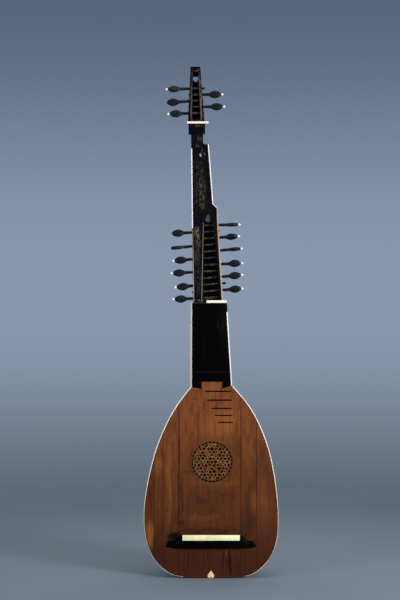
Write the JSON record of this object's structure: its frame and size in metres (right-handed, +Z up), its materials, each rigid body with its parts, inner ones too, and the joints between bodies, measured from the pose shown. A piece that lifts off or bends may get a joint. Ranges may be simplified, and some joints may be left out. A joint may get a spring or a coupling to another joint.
{
  "type": "theorbo",
  "caption": "Long-necked lute with a ribbed pear-shaped bowl, a carved rose, a lower and an upper pegbox on an offset extension, and pegs that turn.",
  "frame": {"origin": "middle of the heart-shaped hanging hole, on the back face of the upper pegbox", "axes": "+Z up along the strings towards the upper pegbox, the soundboard faces -Y, the treble side is at +X"},
  "size_m": [0.3558, 0.1619, 1.3503],
  "materials": {
    "soundboard": "aged varnished spruce, orange brown above, dark red brown below",
    "bowl_wood": "dark varnished rib wood",
    "bare_spruce": "unvarnished, aged",
    "ebony": "polished ebony",
    "stained_wood": "black stained, worn to brown",
    "peg_wood": "turned and carved, dull black",
    "fret_wood": "dark hardwood strips",
    "ivory": "polished ivory or bone",
    "bone_edging": "aged bone, pinkish beige"
  },
  "bodies": {
    "instrument": {"binding_bass": "ivory", "binding_treble": "ivory", "bridge": "ebony", "bridge_bar": "bare_spruce", "bridge_plate": "ivory", "collar": "stained_wood", "end_clasp": "bowl_wood", "end_liner": "bare_spruce", "extension": "stained_wood", "extension_edging_bass": "ivory", "extension_edging_treble": "ivory", "fingerboard": "ebony", "fingerboard_point_bass": "ebony", "fingerboard_point_treble": "ebony", "fret_08": "fret_wood", "fret_09": "fret_wood", "fret_10": "fret_wood", "fret_11": "fret_wood", "fret_12": "fret_wood", "heart_inlay": "ivory", "lower_nut": "ivory", "lower_rose_bar": "bare_spruce", "neck": "stained_wood", "neck_block": "bare_spruce", "neck_edging_bass": "ivory", "neck_edging_treble": "ivory", "pegbox_edging_treble": "bone_edging", "rib_01": "bowl_wood", "rib_02": "bowl_wood", "rib_03": "bowl_wood", "rib_04": "bowl_wood", "rib_05": "bowl_wood", "rib_06": "bowl_wood", "rib_07": "bowl_wood", "rib_08": "bowl_wood", "rib_09": "bowl_wood", "rib_10": "bowl_wood", "rib_11": "bowl_wood", "soundboard": "soundboard", "tail_bar": "bare_spruce", "upper_nut": "ivory", "upper_pegbox": "stained_wood", "upper_rose_bar": "bare_spruce"},
    "peg_lower_bass_1": {"peg_lower_bass_1": "peg_wood"},
    "peg_lower_bass_2": {"peg_lower_bass_2": "peg_wood"},
    "peg_lower_bass_3": {"peg_lower_bass_3": "peg_wood"},
    "peg_lower_bass_4": {"peg_lower_bass_4": "peg_wood"},
    "peg_lower_bass_5": {"peg_lower_bass_5": "peg_wood"},
    "peg_lower_bass_6": {"peg_lower_bass_6": "peg_wood"},
    "peg_lower_treble_1": {"peg_lower_treble_1": "peg_wood"},
    "peg_lower_treble_2": {"peg_lower_treble_2": "peg_wood"},
    "peg_lower_treble_3": {"peg_lower_treble_3": "peg_wood"},
    "peg_lower_treble_4": {"peg_lower_treble_4": "peg_wood"},
    "peg_lower_treble_5": {"peg_lower_treble_5": "peg_wood"},
    "peg_lower_treble_6": {"peg_lower_treble_6": "peg_wood"},
    "peg_upper_bass_1": {"peg_upper_bass_1": "peg_wood"},
    "peg_upper_bass_2": {"peg_upper_bass_2": "peg_wood"},
    "peg_upper_bass_3": {"peg_upper_bass_3": "peg_wood"},
    "peg_upper_treble_1": {"peg_upper_treble_1": "peg_wood"},
    "peg_upper_treble_2": {"peg_upper_treble_2": "peg_wood"}
  },
  "joints": [
    {"name": "turn_lower_bass_1", "type": "hinge", "parent": "instrument", "child": "peg_lower_bass_1", "pos_m": [-0.00933, -0.00549, -0.40599], "axis": [-0.9987, 0, -0.0506], "continuous": true},
    {"name": "turn_lower_bass_2", "type": "hinge", "parent": "instrument", "child": "peg_lower_bass_2", "pos_m": [-0.0088, -0.00549, -0.44254], "axis": [-0.9956, 0, -0.0941], "continuous": true},
    {"name": "turn_lower_bass_3", "type": "hinge", "parent": "instrument", "child": "peg_lower_bass_3", "pos_m": [-0.00826, -0.00549, -0.477], "axis": [-0.9971, 0, -0.0767], "continuous": true},
    {"name": "turn_lower_bass_4", "type": "hinge", "parent": "instrument", "child": "peg_lower_bass_4", "pos_m": [-0.00773, -0.00549, -0.51131], "axis": [-0.9984, 0, -0.0558], "continuous": true},
    {"name": "turn_lower_bass_5", "type": "hinge", "parent": "instrument", "child": "peg_lower_bass_5", "pos_m": [-0.0072, -0.00549, -0.54738], "axis": [-0.9965, 0, -0.0837], "continuous": true},
    {"name": "turn_lower_bass_6", "type": "hinge", "parent": "instrument", "child": "peg_lower_bass_6", "pos_m": [-0.00666, -0.00549, -0.58094], "axis": [-0.999, 0, -0.0436], "continuous": true},
    {"name": "turn_lower_treble_1", "type": "hinge", "parent": "instrument", "child": "peg_lower_treble_1", "pos_m": [0.05677, -0.00549, -0.38622], "axis": [0.9998, 0, 0.0175], "continuous": true},
    {"name": "turn_lower_treble_2", "type": "hinge", "parent": "instrument", "child": "peg_lower_treble_2", "pos_m": [0.05868, -0.00549, -0.41961], "axis": [0.9979, 0, 0.0645], "continuous": true},
    {"name": "turn_lower_treble_3", "type": "hinge", "parent": "instrument", "child": "peg_lower_treble_3", "pos_m": [0.06082, -0.00549, -0.45389], "axis": [0.9965, 0, 0.0837], "continuous": true},
    {"name": "turn_lower_treble_4", "type": "hinge", "parent": "instrument", "child": "peg_lower_treble_4", "pos_m": [0.06296, -0.00549, -0.49006], "axis": [0.9988, 0, 0.0489], "continuous": true},
    {"name": "turn_lower_treble_5", "type": "hinge", "parent": "instrument", "child": "peg_lower_treble_5", "pos_m": [0.0651, -0.00549, -0.52363], "axis": [0.9962, 0, 0.0872], "continuous": true},
    {"name": "turn_lower_treble_6", "type": "hinge", "parent": "instrument", "child": "peg_lower_treble_6", "pos_m": [0.06724, -0.00549, -0.55895], "axis": [0.9971, 0, 0.0767], "continuous": true},
    {"name": "turn_upper_bass_1", "type": "hinge", "parent": "instrument", "child": "peg_upper_bass_1", "pos_m": [-0.0159, -0.00949, -0.02543], "axis": [-0.9997, 0, -0.0244], "continuous": true},
    {"name": "turn_upper_bass_2", "type": "hinge", "parent": "instrument", "child": "peg_upper_bass_2", "pos_m": [-0.01744, -0.00949, -0.05863], "axis": [-0.9979, 0, -0.0645], "continuous": true},
    {"name": "turn_upper_bass_3", "type": "hinge", "parent": "instrument", "child": "peg_upper_bass_3", "pos_m": [-0.01899, -0.00949, -0.09057], "axis": [-0.9994, 0, -0.0349], "continuous": true},
    {"name": "turn_upper_treble_1", "type": "hinge", "parent": "instrument", "child": "peg_upper_treble_1", "pos_m": [0.01787, -0.00949, -0.04109], "axis": [1, 0, 0.0087], "continuous": true},
    {"name": "turn_upper_treble_2", "type": "hinge", "parent": "instrument", "child": "peg_upper_treble_2", "pos_m": [0.02036, -0.00949, -0.07349], "axis": [1, 0, 0.0087], "continuous": true}
  ]
}
